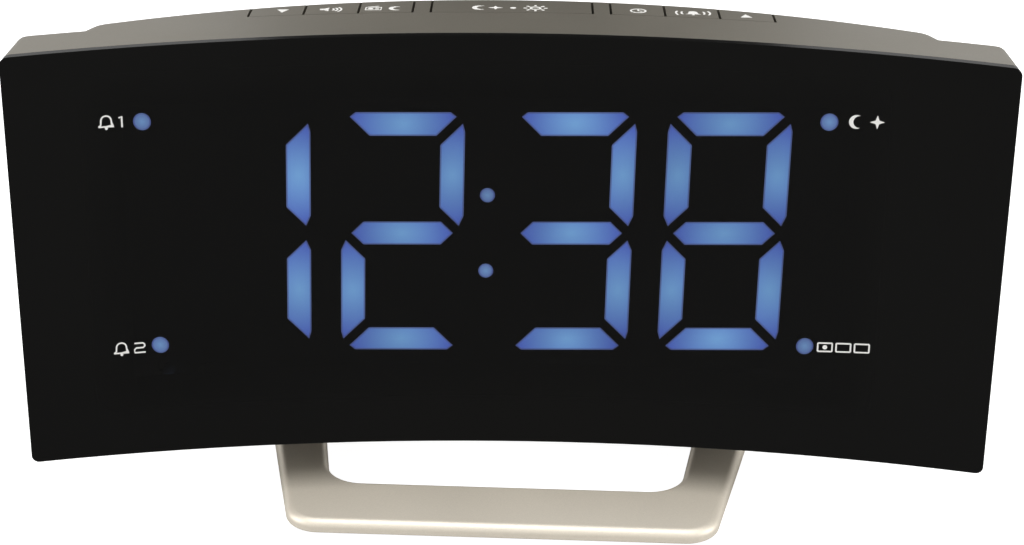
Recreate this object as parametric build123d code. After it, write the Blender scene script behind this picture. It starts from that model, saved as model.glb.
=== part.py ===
from build123d import *
import math
import os

# Projection alarm clock: a hollow curved display panel on a hump-backed housing, leaning back on a
# flat metal ring. Millimetres. The clock is built upright with X to the right, Y to the back and
# Z up from the foot of the panel's centre line, then leant back and lifted on to its stand.

# Front panel
panel_width_top = 172.6
panel_width_foot = 171.1
panel_height = 77.6
panel_curve = 273.0
panel_top_bow = 1.2
panel_foot_bow = 1.0
panel_corner = 1.4
lens_wall = 1.8
glue_line = 0.05

# Housing shell
wall = 2.2
ledge = 1.6
frame_depth = 13.5
frame_corner = 3.5
ridge_depth = 28.6
ridge_curve = 160.0
ridge_edge = 3.0
hump_root = panel_width_top / 2 - 4.3
hump_shoulder = hump_root - 7.0
hump_corner = 5.0
reach = 90.0

# Keys
key_front_depth = 16.6
key_pitch = 9.8
key_rib = 3.3
snooze_width = 29.4
key_gap = 0.45
key_seam = 0.15
key_back_wall = 1.8
key_back_gap = 0.35
key_wall = 1.5
key_skirt = 6.8
key_room = 1.2
key_pivot_back = 1.2
key_pivot_drop = 3.6
key_bead = 0.7
key_web = 0.9
running_clear = 0.08
plunger_back = 5.0
plunger_radius = 1.0
switch_size = 3.0
switch_height = 3.5
switch_button = 0.9
switch_button_radius = 0.8
switch_gap = 0.3
key_board_drop = 11.6
key_board_half = 53.0

# Circuit boards and fasteners
board_wall = 1.6
fit_clear = 0.25
screw_clear = 0.05
small_screw = 1.0
small_head = 1.9
case_screw = 1.5
case_head = 2.8
head_height = 1.4
boss_wall = 1.6
key_screw_length = 4.8
display_screw_bite = 4.5
cover_screw_bite = 7.0
cradle_screw_bite = 5.5

# Display
display_x = -4.1
display_z = 40.1
display_turn = 0.6
display_depth = 2.6
digit_half_width = 11.07
digit_half_height = 22.8
digit_pitch = 27.6
digit_pair_offset = 15.3
digit_slant = 1.6
segment_bar = 4.4
segment_gap = 1.7
middle_bar_trim = 1.87
corner_drop = 0.5
bevel_edge = 1.9
bevel_mitre = 0.85
diffuser_depth = 2.0
colon_radius = 1.36
colon_half = 7.25
reflector_half_width = hump_shoulder - 10.0
reflector_half_height = 26.0
reflector_depth = 6.0
dot_radius = 1.6
dot_top_x = reflector_half_width - 3.9
dot_foot_x = dot_top_x - 1.7
dot_top_shift = -0.15
dot_foot_shift = -1.0
dot_top_z = 21.0
dot_foot_z = -22.0
led_height = 0.8
lamp_board_half = reflector_half_width - 2.8
board_screw_x = 50.0
board_ear = 5.0
lit_segments = ("bc", "abged", "abgcd", "abcdefg")

# Projector drum and its pivot, just clear of the hump
drum_radius = 9.5
drum_half = 14.0
drum_wall = 1.6
drum_room = 2.9
pivot_depth = ridge_depth + drum_radius + drum_room
pivot_height = 58.6

# Back cover
cover_half = hump_shoulder - 7.0
cover_low = 7.0
cover_high = 60.0
cover_seam = 0.15
cover_lip = 1.2
cover_lap = 1.6
bulge_half = cover_half - 11.0
bulge_low = 8.5
bulge_high = 47.0
bulge_depth = pivot_depth + 5.0
bulge_root = 14.5
bulge_edge = 3.0
cover_screw_x = cover_half - 6.5
cover_screw_z = 10.6

# Main board
main_board_depth = 15.4
main_board_half = 50.0
main_board_low = 11.0
main_board_high = 43.0
standoff_radius = 2.2
standoff_inset = 4.0
header_half = 14.0
header_height = 3.0
chip_step = 2.0

# Speaker
speaker_x = 34.5
speaker_z = 27.8
speaker_radius = 16.0
speaker_flange = 1.5
basket_depth = 8.0
magnet_radius = 10.0
magnet_height = 7.0
grille_radius = 12.8
grille_pitch = 3.2
grille_slot = 1.5

# Battery compartment
cell_radius = 5.2
cell_length = 44.5
cell_nub = 1.9
cell_nub_height = 1.0
cell_gap = 0.5
contact_wall = 0.4
contact_dimple = 0.9
battery_x = -27.5
battery_z = 24.0
tray_wall = 1.4
tray_clear = 0.3
door_wall = 2.15
door_lap = 0.95
door_clear = 0.25

# Sockets and button on the rear
socket_x = 8.0
jack_z = 16.4
jack_size = 9.5
jack_length = 12.0
jack_nose = 3.9
jack_bore = 2.8
jack_pin = 1.0
gland_z = 27.0
gland_radius = 2.6
gland_flange = 1.2
gland_bore = 1.2
beam_key_z = 37.5
beam_key_radius = 3.0
beam_key_proud = 1.0
beam_key_flange = 1.2
beam_key_travel = 0.8
beam_key_stem = 1.5

# Projector
pin_radius = 3.0
ear_wall = 2.8
ear_gap = 0.6
ear_radius = 5.5
cradle_wall = 1.5
cradle_foot_front = pivot_depth - 7.0
cradle_foot_back = pivot_depth + 2.0
washer_slack = 0.03
tube_radius = 7.5
tube_wall = 1.4
tube_start = 4.0
tube_end = 20.0
focus_start = 15.5
focus_wall = 0.85
focus_lip = 1.0
focus_flutes = 24
holder_start = 13.0
holder_length = 5.6
holder_wall = 1.0
lens_thickness = 3.0
lens_rim = 1.2
slide_start = 9.5
slide_wall = 1.2
condenser_start = 5.5
beam_board_back = 6.0
beam_board_wall = 1.2
beam_led_radius = 2.5
beam_led_length = 4.0

# Stand
lean = 6.0
foot_height = 12.0
ring_wall = 2.6
ring_front = -15.2
ring_back = 48.0
ring_half_front = 38.8
ring_half_back = 52.8
ring_bar_front = 14.4
ring_bar_back = 10.0
ring_bar_side_front = 6.05
ring_bar_side_back = 13.9
ring_corner = 6.4
ring_inner_corner = 7.0
ring_turn = 1.9
ring_edge = 1.5
ring_foot_edge = 0.4
pad_radius = 3.6
pad_wall = 1.0
pad_proud = 0.4
pad_inset = 6.6
riser_x = 41.5
riser_width = 7.4
riser_front = 15.6
riser_back = 22.2
riser_edge = 1.0
stand_screw_y = 18.6
stand_screw_grip = 2.2


def along_y(radius, start, end, x, z):
    """Round bar along Y."""
    return Pos(x, (start + end) / 2, z) * Rot(90, 0, 0) * Cylinder(radius, end - start)


def along_x(radius, start, end, y, z):
    """Round bar along X."""
    return Pos((start + end) / 2, y, z) * Rot(0, 90, 0) * Cylinder(radius, end - start)


def upright(radius, low, high, x, y):
    """Round bar along Z."""
    return Pos(x, y, (low + high) / 2) * Cylinder(radius, high - low)


def block(x0, x1, y0, y1, z0, z1):
    """Box between two corners."""
    return Pos((x0 + x1) / 2, (y0 + y1) / 2, (z0 + z1) / 2) * Box(x1 - x0, y1 - y0, z1 - z0)


def front_y(x, depth):
    """Y of the arc that lies a depth behind the hollow front."""
    return math.sqrt((panel_curve + depth) ** 2 - x**2) - panel_curve


def rear_y(x, inset):
    """Y of the back of the hump."""
    curve = ridge_curve - inset
    return ridge_depth - inset - curve + math.sqrt(curve**2 - x**2)


def top_z(x):
    """Height of the bowed top edge."""
    half = panel_width_top / 2
    bow_radius = (half**2 + panel_top_bow**2) / (2 * panel_top_bow)
    return panel_height - bow_radius + math.sqrt(bow_radius**2 - x**2)


def slab(start, end, low=-5.0, high=panel_height + 5.0):
    """Upright slab between two arcs that follow the hollow front."""
    ring = Circle(panel_curve + end) - Circle(panel_curve + start)
    return extrude(Pos(0, -panel_curve, low) * ring, amount=high - low)


def outline(inset):
    """Prism along Y with the clock's front view, drawn in by an inset."""
    half_top = panel_width_top / 2 - inset
    half_foot = panel_width_foot / 2 - inset
    top = panel_height - inset
    shoulder = top - panel_top_bow
    toe = inset + panel_foot_bow
    edge = ThreePointArc((-half_top, shoulder), (0, top), (half_top, shoulder))
    edge += Line((half_top, shoulder), (half_foot, toe))
    edge += ThreePointArc((half_foot, toe), (0, inset), (-half_foot, toe))
    edge += Line((-half_foot, toe), (-half_top, shoulder))
    face = make_face(edge)
    face = fillet(face.vertices(), panel_corner)
    return extrude(Plane.XZ.offset(reach / 2) * face, amount=2 * reach, dir=(0, 1, 0))


def corner_axis(z):
    """Middle of the rounding at the band's right rear corner, at a height."""
    slope = (panel_width_top - panel_width_foot) / 2 / (panel_height - panel_top_bow - panel_foot_bow)
    x = panel_width_foot / 2 + (z - panel_foot_bow) * slope - frame_corner
    return Vector(x, math.sqrt((panel_curve + frame_depth - frame_corner) ** 2 - x**2) - panel_curve, z)


def corner_waste():
    """Waste outside the band's right rear corner, leaning with the side."""
    start = corner_axis(-5)
    end = corner_axis(panel_height + 5)
    out = frame_corner + 3
    turn = math.atan2(start.X, start.Y + panel_curve)
    rear = (start.X + out * math.sin(turn), start.Y + out * math.cos(turn))
    corner = (start.X + out, start.Y + out)
    face = make_face(Polyline((start.X, start.Y), (start.X + out, start.Y), corner, rear, close=True))
    face -= Pos(start.X, start.Y) * Circle(frame_corner)
    path = end - start
    return extrude(Pos(0, 0, -5) * face, amount=path.length, dir=path.normalized())


def band():
    """Solid band that carries the panel: the clock's full width, without the hump."""
    waste = corner_waste()
    return (slab(lens_wall + glue_line, frame_depth) & outline(0)) - waste - mirror(waste, Plane.YZ)


def hump_plan(inset):
    """Plan of the hump behind the panel."""
    start = lens_wall + ledge
    root = hump_root - inset
    shoulder = hump_shoulder - inset
    root_y = front_y(root, start)
    shoulder_y = rear_y(shoulder, inset)
    edge = Line((-root, root_y), (-shoulder, shoulder_y))
    edge += ThreePointArc((-shoulder, shoulder_y), (0, ridge_depth - inset), (shoulder, shoulder_y))
    edge += Line((shoulder, shoulder_y), (root, root_y))
    edge += ThreePointArc((root, root_y), (0, start), (-root, root_y))
    face = make_face(edge)
    corners = [v for v in face.vertices() if v.Y > (root_y + shoulder_y) / 2]
    return fillet(corners, max(hump_corner - inset, 1.0))


def hump(inset):
    """Solid hump, drawn in by an inset, with its top and bottom rear edges rounded."""
    body = extrude(Pos(0, 0, -5) * hump_plan(inset), amount=panel_height + 10) & outline(inset)
    ends = [body.faces().sort_by(Axis.Z)[-1], body.faces().sort_by(Axis.Z)[0]]
    edges = []
    for face in ends:
        front = face.edges().filter_by(lambda e: abs(e.center().X) < 1.0).sort_by(Axis.Y)[0]
        edges += [e for e in face.edges() if e.center().Y > front.center().Y or abs(e.center().X) > 1.0]
        edges = [e for e in edges if (e.center() - front.center()).length > 0.1]
    return fillet(edges, max(ridge_edge - inset, 0.5))


def post(x, z, radius, start, end):
    """Screw post along Y."""
    return along_y(radius, start, end, x, z)


def screw(radius, length, head_radius):
    """Pan-head screw with a cross recess, its head's seat at the origin and its shank up Z."""
    shank = upright(radius, 0, length, 0, 0)
    head = upright(head_radius, -head_height, 0, 0, 0)
    slot = head_radius * 1.1
    cut = Pos(0, 0, -head_height) * (Box(slot, slot / 4, head_height) + Box(slot / 4, slot, head_height))
    return shank + head - cut


def screw_y(radius, length, head_radius, x, y, z):
    """Screw driven from the back towards the front, seated at Y."""
    return Pos(x, y, z) * Rot(90, 0, 0) * screw(radius, length, head_radius)


def screw_up(radius, length, head_radius, x, y, z):
    """Screw driven upwards, seated at Z."""
    return Pos(x, y, z) * screw(radius, length, head_radius)


# Key row: each key's name with its two ends along X
def key_row():
    snooze = snooze_width / 2
    first = snooze + key_rib
    ends = [first + key_pitch * step for step in range(4)]
    return {
        "key_down": (-ends[3], -ends[2]),
        "key_volume": (-ends[2], -ends[1]),
        "key_radio": (-ends[1], -ends[0]),
        "key_snooze": (-snooze, snooze),
        "key_set": (ends[0], ends[1]),
        "key_alarm": (ends[1], ends[2]),
        "key_up": (ends[2], ends[3]),
    }


keys = key_row()
key_low = panel_height - key_skirt
key_board_top = panel_height - key_board_drop
switch_top = key_board_top + switch_height + switch_button
rib_x = snooze_width / 2 + key_rib / 2
row_end = keys["key_up"][1]


def key_pivot(ends):
    """Y and Z of a key's hinge bead."""
    middle = (ends[0] + ends[1]) / 2
    return front_y(middle, key_front_depth) + key_pivot_back, top_z(middle) - key_pivot_drop


def key_plunger(ends):
    """X and Y of the plunger under a key, and of its switch."""
    middle = (ends[0] + ends[1]) / 2
    return middle, front_y(middle, key_front_depth) + plunger_back


def within_back(inset):
    """Upright prism that ends an inset before the back of the hump."""
    return extrude(hump_plan(inset), amount=reach)


def key_cap(ends, shell, core):
    """Key: a piece of the deck's own skin with a hinge bead in front and a plunger below."""
    x0 = ends[0] + key_gap / 2
    x1 = ends[1] - key_gap / 2
    place = slab(key_front_depth + key_seam, reach, key_low) & block(x0, x1, 0, reach, key_low, reach)
    place &= within_back(key_back_wall + key_back_gap)
    pivot_y, pivot_z = key_pivot(ends)
    plunger_x, plunger_y = key_plunger(ends)
    bead = along_x(key_bead, x0 + key_gap, x1 - key_gap, pivot_y, pivot_z)
    half_web = key_web / 2
    web = block(x0 + key_gap, x1 - key_gap, pivot_y - half_web, pivot_y + half_web, pivot_z, panel_height)
    plunger = upright(plunger_radius, switch_top + switch_gap, panel_height, plunger_x, plunger_y)
    return shell & place, bead, (web + plunger) & core


def key_opening(low, high):
    """Cut in the deck for a run of keys; the hump's back wall stays."""
    start = key_low - key_room
    x0 = low - key_gap / 2
    x1 = high + key_gap / 2
    cut = slab(key_front_depth, reach, start) & block(x0, x1, 0, reach, start, reach)
    return cut & within_back(key_back_wall)


def key_rail(cavity):
    """Grooved rail under the deck that the keys' beads rock in."""
    low = top_z(row_end) - key_pivot_drop - 2 * key_bead
    rail = slab(key_front_depth - 2.6, key_front_depth - 0.4, low)
    rail &= block(-row_end, row_end, 0, reach, low, reach)
    grooves = []
    for ends in keys.values():
        pivot_y, pivot_z = key_pivot(ends)
        x0 = ends[0] + key_gap
        x1 = ends[1] - key_gap
        rail += block(x0, x1, pivot_y - key_pivot_back - 1.4, pivot_y + key_bead + 0.4, low, pivot_z)
        grooves.append(along_x(key_bead + running_clear, x0 - key_gap, x1 + key_gap, pivot_y, pivot_z))
    return (rail & cavity) - grooves


def key_post_places():
    """Places of the posts that hold the key board: under the two ribs and past both ends."""
    rib_y = rear_y(rib_x, wall) - 4.0
    end_x = row_end + 3.4
    end_y = rear_y(end_x, wall) - 2.6
    return [(-end_x, end_y), (-rib_x, rib_y), (rib_x, rib_y), (end_x, end_y)]


def key_posts(core):
    """Posts above the key board, narrow where they pass between the keys."""
    neck = key_rib - key_gap
    shoulder = panel_height - key_pivot_drop - 1.0
    posts = None
    for x, y in key_post_places():
        foot = block(x - 2.5, x + 2.5, y - 2.5, y + 2.5, key_board_top, shoulder)
        stem = block(x - neck / 2, x + neck / 2, y - 2.5, y + 2.5, shoulder, reach)
        posts = foot + stem if posts is None else posts + foot + stem
    return posts & core


def key_board():
    """Switch board that lies under the keys."""
    low = key_board_top - board_wall
    plan = hump_plan(wall + fit_clear)
    front = display_depth + reflector_depth + board_wall + 0.8
    board = extrude(Pos(0, 0, low) * plan, amount=board_wall)
    board &= block(-key_board_half, key_board_half, front, reach, low, key_board_top)
    holes = [upright(small_screw + screw_clear, low - 1, key_board_top + 1, x, y) for x, y in key_post_places()]
    return board - holes


def tact_switches():
    """One square switch for each key."""
    solids = []
    for ends in keys.values():
        x, y = key_plunger(ends)
        half = switch_size / 2
        base = block(x - half, x + half, y - half, y + half, key_board_top, switch_top - switch_button)
        button = upright(switch_button_radius, switch_top - switch_button, switch_top, x, y)
        solids.append(base + button)
    return solids


# Display
display_back = display_depth + reflector_depth
display_board_back = display_back + board_wall


def segment_shapes():
    """Points of the seven bars of an upright digit about its centre."""
    half_w = digit_half_width
    half_h = digit_half_height
    bar = segment_bar
    mitre = half_h - half_w - corner_drop
    step = segment_gap / math.sqrt(2)
    # Bar a along the top, cut back along the mitre lines z - x = mitre + step
    a_in = half_h - bar - mitre - step
    a_out = half_h - mitre - step
    a = [
        (a_out - bevel_edge, half_h),
        (a_out - bevel_mitre, half_h - bevel_mitre),
        (a_in, half_h - bar),
    ]
    bar_a = [(-x, z) for x, z in reversed(a)] + a
    # Bar b on the upper right, between z - x = mitre - step and the mitre of the middle bar
    inner = half_w - bar
    b_top = half_w + mitre - step
    middle = half_w - middle_bar_trim
    b_foot = middle + 2 * step - half_w
    bar_b = [
        (half_w, b_top - bevel_edge),
        (half_w - bevel_mitre / 2, b_top - bevel_mitre / 2),
        (inner, inner + mitre - step),
        (inner, b_foot + bar),
        (half_w - bevel_mitre, b_foot + bevel_mitre),
        (half_w, b_foot + bevel_mitre + bevel_edge),
    ]
    half_bar = bar / 2
    bar_g = [
        (-middle, 0),
        (half_bar - middle, half_bar),
        (middle - half_bar, half_bar),
        (middle, 0),
        (middle - half_bar, -half_bar),
        (half_bar - middle, -half_bar),
    ]
    return {
        "a": bar_a,
        "b": bar_b,
        "c": [(x, -z) for x, z in bar_b],
        "d": [(x, -z) for x, z in bar_a],
        "e": [(-x, -z) for x, z in bar_b],
        "f": [(-x, z) for x, z in bar_b],
        "g": bar_g,
    }


def digit_centres():
    inner = digit_pair_offset
    outer = digit_pair_offset + digit_pitch
    return [display_x - outer, display_x - inner, display_x + inner, display_x + outer]


def on_display(x, z):
    """A place given from the middle of the digits, slanted as they are and turned with them."""
    turn = math.radians(display_turn)
    x += z * math.tan(math.radians(digit_slant))
    return display_x + x * math.cos(turn) - z * math.sin(turn), display_z + x * math.sin(turn) + z * math.cos(turn)


def segment_bar_solid(points, centre, start, end):
    """One bar of a digit, as a prism along Y."""
    placed = [on_display(centre - display_x + x, z) for x, z in points]
    face = make_face(Polyline(*placed, close=True))
    return extrude(Plane.XZ.offset(-start) * face, amount=end - start, dir=(0, 1, 0))


def segment_solids(lit, start, end):
    """All bars that are lit, or all that are not."""
    shapes = segment_shapes()
    solids = []
    for centre, names in zip(digit_centres(), lit_segments):
        for name, points in shapes.items():
            if (name in names) == lit:
                solids.append(segment_bar_solid(points, centre, start, end))
    return solids


def dot_places():
    """Colon dots and the four indicator dots: X, Z and radius."""
    unslant = math.tan(math.radians(digit_slant))
    places = [(*on_display(0, z), colon_radius) for z in (colon_half, -colon_half)]
    for side in (-1, 1):
        top_x = side * dot_top_x + dot_top_shift - dot_top_z * unslant
        foot_x = side * dot_foot_x + dot_foot_shift - dot_foot_z * unslant
        places.append((*on_display(top_x, dot_top_z), dot_radius))
        places.append((*on_display(foot_x, dot_foot_z), dot_radius))
    return places


def segment_middles():
    """Middle of each bar, where its lamp sits."""
    middles = []
    for centre in digit_centres():
        for points in segment_shapes().values():
            x = sum(p[0] for p in points) / len(points)
            z = sum(p[1] for p in points) / len(points)
            middles.append(on_display(centre - display_x + x, z))
    return middles


def display_reflector():
    """Block of light wells in front of the lamps."""
    half_w = reflector_half_width
    half_h = reflector_half_height
    body = block(
        display_x - half_w, display_x + half_w, display_depth, display_back,
        display_z - half_h, display_z + half_h,
    )
    start = display_depth - 1
    end = display_back + 1
    wells = segment_solids(True, start, end) + segment_solids(False, start, end)
    wells += [along_y(radius, start, end, x, z) for x, z, radius in dot_places()]
    return body - wells


def dot_diffusers():
    end = display_depth + diffuser_depth
    return [along_y(radius, display_depth, end, x, z) for x, z, radius in dot_places()]


def board_screw_places():
    """Corner screws of the display board."""
    reach_z = reflector_half_height + small_screw + boss_wall + fit_clear
    return [(display_x + sx * board_screw_x, display_z + sz * reach_z) for sx in (-1, 1) for sz in (-1, 1)]


def display_board():
    """Upright lamp board with a screw ear at each corner."""
    half_w = lamp_board_half
    half_h = reflector_half_height
    board = block(
        display_x - half_w, display_x + half_w, display_back, display_board_back,
        display_z - half_h, display_z + half_h,
    )
    ear = board_ear / 2
    for x, z in board_screw_places():
        z0, z1 = sorted((z - math.copysign(2 * ear, z - display_z), z + math.copysign(ear, z - display_z)))
        board += block(x - ear, x + ear, display_back, display_board_back, z0, z1)
    hole = small_screw + screw_clear
    board -= [along_y(hole, display_back - 1, display_board_back + 1, x, z) for x, z in board_screw_places()]
    hole = small_screw + screw_clear
    board -= [along_y(hole, display_back - 1, display_board_back + 1, x, z) for x, z in standoff_places()]
    return board


def display_lamps():
    """One small lamp for each bar and dot."""
    solids = []
    for x, z in segment_middles():
        solids.append(block(x - 1.0, x + 1.0, display_back - led_height, display_back, z - 0.7, z + 0.7))
    for x, z, radius in dot_places():
        half = radius / 2
        solids.append(block(x - half, x + half, display_back - led_height, display_back, z - half, z + half))
    return solids


def standoff_places():
    """Spacers between the two upright boards."""
    half = main_board_half - standoff_inset
    low = main_board_low + 2 * standoff_inset
    high = main_board_high - standoff_inset
    return [(sx * half, z) for sx in (-1, 1) for z in (low, high)]


def board_standoffs():
    solids = []
    for x, z in standoff_places():
        spacer = along_y(standoff_radius, display_board_back, main_board_depth, x, z)
        spacer -= along_y(small_screw + screw_clear, display_board_back - 1, main_board_depth + 1, x, z)
        solids.append(spacer)
    return solids


main_board_back = main_board_depth + board_wall


def main_board():
    """Upright main board behind the lamp board."""
    half = main_board_half
    board = block(-half, half, main_board_depth, main_board_back, main_board_low, main_board_high)
    hole = small_screw + screw_clear
    return board - [along_y(hole, main_board_depth - 1, main_board_back + 1, x, z) for x, z in standoff_places()]


def standoff_screws():
    length = main_board_back - display_back - 0.3
    return [screw_y(small_screw, length, small_head, x, main_board_back, z) for x, z in standoff_places()]


def main_board_parts():
    """Clock chip, radio chip, crystal can, regulator and two electrolytic cans."""
    back = main_board_back
    step = chip_step
    solids = [
        block(-6 * step, step, back, back + 0.9 * step, 15 * step, 20 * step),
        block(-17 * step, -12 * step, back, back + 0.8 * step, 17 * step, 20.5 * step),
        block(7 * step, 11 * step, back, back + 1.25 * step, 18 * step, 20 * step),
        block(-22 * step, -19 * step, back, back + 1.5 * step, 13 * step, 16 * step),
    ]
    for x, z in ((13 * step, 19 * step), (-9 * step, 18.5 * step)):
        solids.append(along_y(1.3 * step, back, back + 3 * step, x, z))
    return solids


def board_header():
    """Pin header that joins the two boards."""
    low = main_board_low + standoff_inset / 4
    return block(-header_half, header_half, display_board_back, main_board_depth, low, low + header_height)


# Back cover
def bulge(inset):
    """Rounded box that stands out of the back."""
    body = block(
        -bulge_half + inset, bulge_half - inset, bulge_root - inset * 4, bulge_depth - inset,
        bulge_low + inset, bulge_high - inset,
    )
    edges = body.edges().filter_by(Axis.Y) + body.faces().sort_by(Axis.Y)[-1].edges()
    return fillet(edges, max(bulge_edge - inset, 0.6))


bulge_inner_back = bulge_depth - wall
bulge_inner_top = bulge_high - wall


def cover_screw_places():
    return [(-cover_screw_x, cover_screw_z), (cover_screw_x, cover_screw_z)]


def cover_seat(x):
    """Y of the bottom of a cover screw's counterbore."""
    return rear_y(abs(x) + 3.2, 0) - head_height - 0.8


def tray_half_sizes():
    """Half width and half height of the room for the cells."""
    half_x = cell_length / 2 + contact_dimple + contact_wall + tray_clear
    half_z = 2 * cell_radius + cell_gap / 2 + tray_clear
    return half_x, half_z


def door_frame(clear):
    """Opening for the battery door: X and Z limits."""
    half_x, half_z = tray_half_sizes()
    half_x += door_lap - clear
    half_z += door_lap - clear
    return battery_x - half_x, battery_x + half_x, battery_z - half_z, battery_z + half_z


def rear_slab(start, end):
    """Upright slab between two insets from the back of the hump."""
    centre = ridge_depth - ridge_curve
    ring = Circle(ridge_curve - start) - Circle(ridge_curve - end)
    return extrude(Pos(0, centre) * ring, amount=panel_height)


def back_cover(shell):
    """Cover that closes the housing, with the bulge, grille, battery opening and socket holes."""
    x = cover_half - cover_seam
    z0 = cover_low + cover_seam
    z1 = cover_high - cover_seam
    lap = cover_lap
    rim = rear_slab(wall + fit_clear / 2, wall + cover_lip) & block(-x - lap, x + lap, 0, reach, z0 - lap, z1 + lap)
    rim += rear_slab(wall / 2, wall + cover_lip) & block(-x, x, 0, reach, z0, z1)
    rim -= block(-x + lap, x - lap, 0, reach, z0 + lap, z1 - lap)
    cover = (shell & block(-x, x, 0, reach, z0, z1)) + rim + bulge(0)
    cover -= bulge(wall)
    for px, pz in cover_screw_places():
        seat = cover_seat(px)
        front = front_y(px, frame_depth)
        cover += post(px, pz, case_screw + boss_wall, front + 0.2, seat + 1.0) - bulge(wall)
        cover -= along_y(case_screw + screw_clear * 4, front - 5, reach, px, pz)
        cover -= along_y(case_screw + 1.5, seat, reach, px, pz)
    # Speaker grille: slots across a round field
    rows = int((grille_radius - grille_slot) // grille_pitch)
    for row in range(-rows, rows + 1):
        z = row * grille_pitch
        half = math.sqrt(grille_radius**2 - z**2)
        slot = Pos(speaker_x, bulge_depth, speaker_z + z) * Rot(90, 0, 0)
        cover -= slot * extrude(SlotOverall(2 * half, grille_slot), amount=2 * wall, both=True)
    x0, x1, z0, z1 = door_frame(0)
    cover -= block(x0, x1, bulge_inner_back - 1, reach, z0, z1)
    for z, radius in (
        (jack_z, jack_nose + fit_clear / 2),
        (gland_z, gland_radius + fit_clear / 2),
        (beam_key_z, beam_key_radius + fit_clear),
    ):
        cover -= along_y(radius, bulge_inner_back - 1, reach, socket_x, z)
    for sx, sy in cradle_screw_places():
        cover -= upright(small_screw + screw_clear * 2, bulge_inner_top - 1, bulge_high + 1, sx, sy)
    return cover


# Speaker
speaker_seat = bulge_inner_back
speaker_flange_front = speaker_seat - speaker_flange
basket_front = speaker_flange_front - basket_depth


def speaker_basket():
    """Pressed steel basket: a flange against the cover and a cone down to the magnet."""
    outer = [
        (0, speaker_seat), (speaker_radius, speaker_seat), (speaker_radius, speaker_flange_front),
        (speaker_radius - 2.5, speaker_flange_front), (magnet_radius, basket_front), (0, basket_front),
    ]
    body = revolve_about_speaker(outer)
    hollow = [
        (0, speaker_seat + 1), (speaker_radius - 2.5, speaker_seat + 1), (speaker_radius - 2.5, speaker_flange_front + 0.6),
        (magnet_radius - 1.2, basket_front + 0.9), (0, basket_front + 0.9),
    ]
    return body - revolve_about_speaker(hollow)


def revolve_about_speaker(profile):
    """Turn a profile of radius and Y about the speaker's axis."""
    face = make_face(Polyline(*profile, close=True))
    turned = revolve(face, Axis.Y, 360)
    return Pos(speaker_x, 0, speaker_z) * turned


def speaker_cone():
    """Paper cone with its surround and dust cap."""
    rim = speaker_radius - 2.8
    back = speaker_seat - 0.4
    profile = [
        (rim, back), (rim, back - 0.7), (rim - 1.6, back - 0.7), (4.0, basket_front + 2.2),
        (0, basket_front + 1.4), (0, basket_front + 2.2), (3.4, basket_front + 3.2), (rim - 2.0, back),
    ]
    return revolve_about_speaker(profile)


def speaker_magnet():
    return along_y(magnet_radius, basket_front - magnet_height, basket_front, speaker_x, speaker_z)


def speaker_clamp_places():
    offset_out = speaker_radius + 1.6
    return [(speaker_x - offset_out * 0.7071, speaker_z + s * offset_out * 0.7071) for s in (-1, 1)] + [
        (speaker_x + offset_out * 0.7071, speaker_z + s * offset_out * 0.7071) for s in (-1, 1)
    ]


def speaker_screws():
    """Four screws whose heads clamp the speaker's flange, in posts on the cover."""
    return [
        Pos(x, speaker_flange_front, z) * Rot(-90, 0, 0) * screw(small_screw, speaker_flange, 2.2)
        for x, z in speaker_clamp_places()
    ]


# Battery
cell_depth = bulge_depth - door_wall - tray_clear - cell_radius


def cell_heights():
    step = cell_radius + cell_gap / 2
    return (battery_z + step, battery_z - step)


def battery_cells():
    """Two cells that lie opposite ways."""
    solids = []
    for z, way in zip(cell_heights(), (1, -1)):
        half = cell_length / 2
        can = along_x(cell_radius, battery_x - half, battery_x + half, cell_depth, z)
        can -= block_ring(z, way)
        solids.append(can)
    return solids


def block_ring(z, way):
    """Waste around a cell's terminal nub."""
    end = battery_x + way * cell_length / 2
    start = end - way * cell_nub_height
    x0, x1 = min(start, end), max(start, end)
    outer = along_x(cell_radius + 1, x0, x1, cell_depth, z)
    return outer - along_x(cell_nub, x0, x1, cell_depth, z)


def battery_tray():
    """Open tray behind the battery door."""
    half_x, half_z = tray_half_sizes()
    front = cell_depth - cell_radius - tray_clear
    body = block(
        battery_x - half_x - tray_wall, battery_x + half_x + tray_wall, front - tray_wall, bulge_inner_back,
        battery_z - half_z - tray_wall, battery_z + half_z + tray_wall,
    )
    return body - block(
        battery_x - half_x, battery_x + half_x, front, bulge_depth, battery_z - half_z, battery_z + half_z,
    )


def battery_contacts():
    """Sprung contact plates with a dimple against each end of each cell."""
    solids = []
    half_x = tray_half_sizes()[0]
    for side in (-1, 1):
        back = battery_x + side * half_x
        front = back - side * contact_wall
        tip = front - side * contact_dimple
        for z in cell_heights():
            half = cell_radius - 1.0
            plate = block(min(back, front), max(back, front), cell_depth - half, cell_depth + half, z - half, z + half)
            plate += along_x(1.4, min(front, tip), max(front, tip), cell_depth, z)
            solids.append(plate)
    return solids


def battery_door():
    """Flush door with a finger ledge of three ribs."""
    x0, x1, z0, z1 = door_frame(door_clear)
    door = block(x0, x1, bulge_depth - door_wall, bulge_depth, z0, z1)
    door = fillet(door.edges().filter_by(Axis.Y), 1.2)
    for step in range(3):
        z = z1 - 2.4 - 1.8 * step
        door += block(battery_x - 6, battery_x + 6, bulge_depth, bulge_depth + 0.5, z - 0.4, z + 0.4)
    return door


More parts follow.
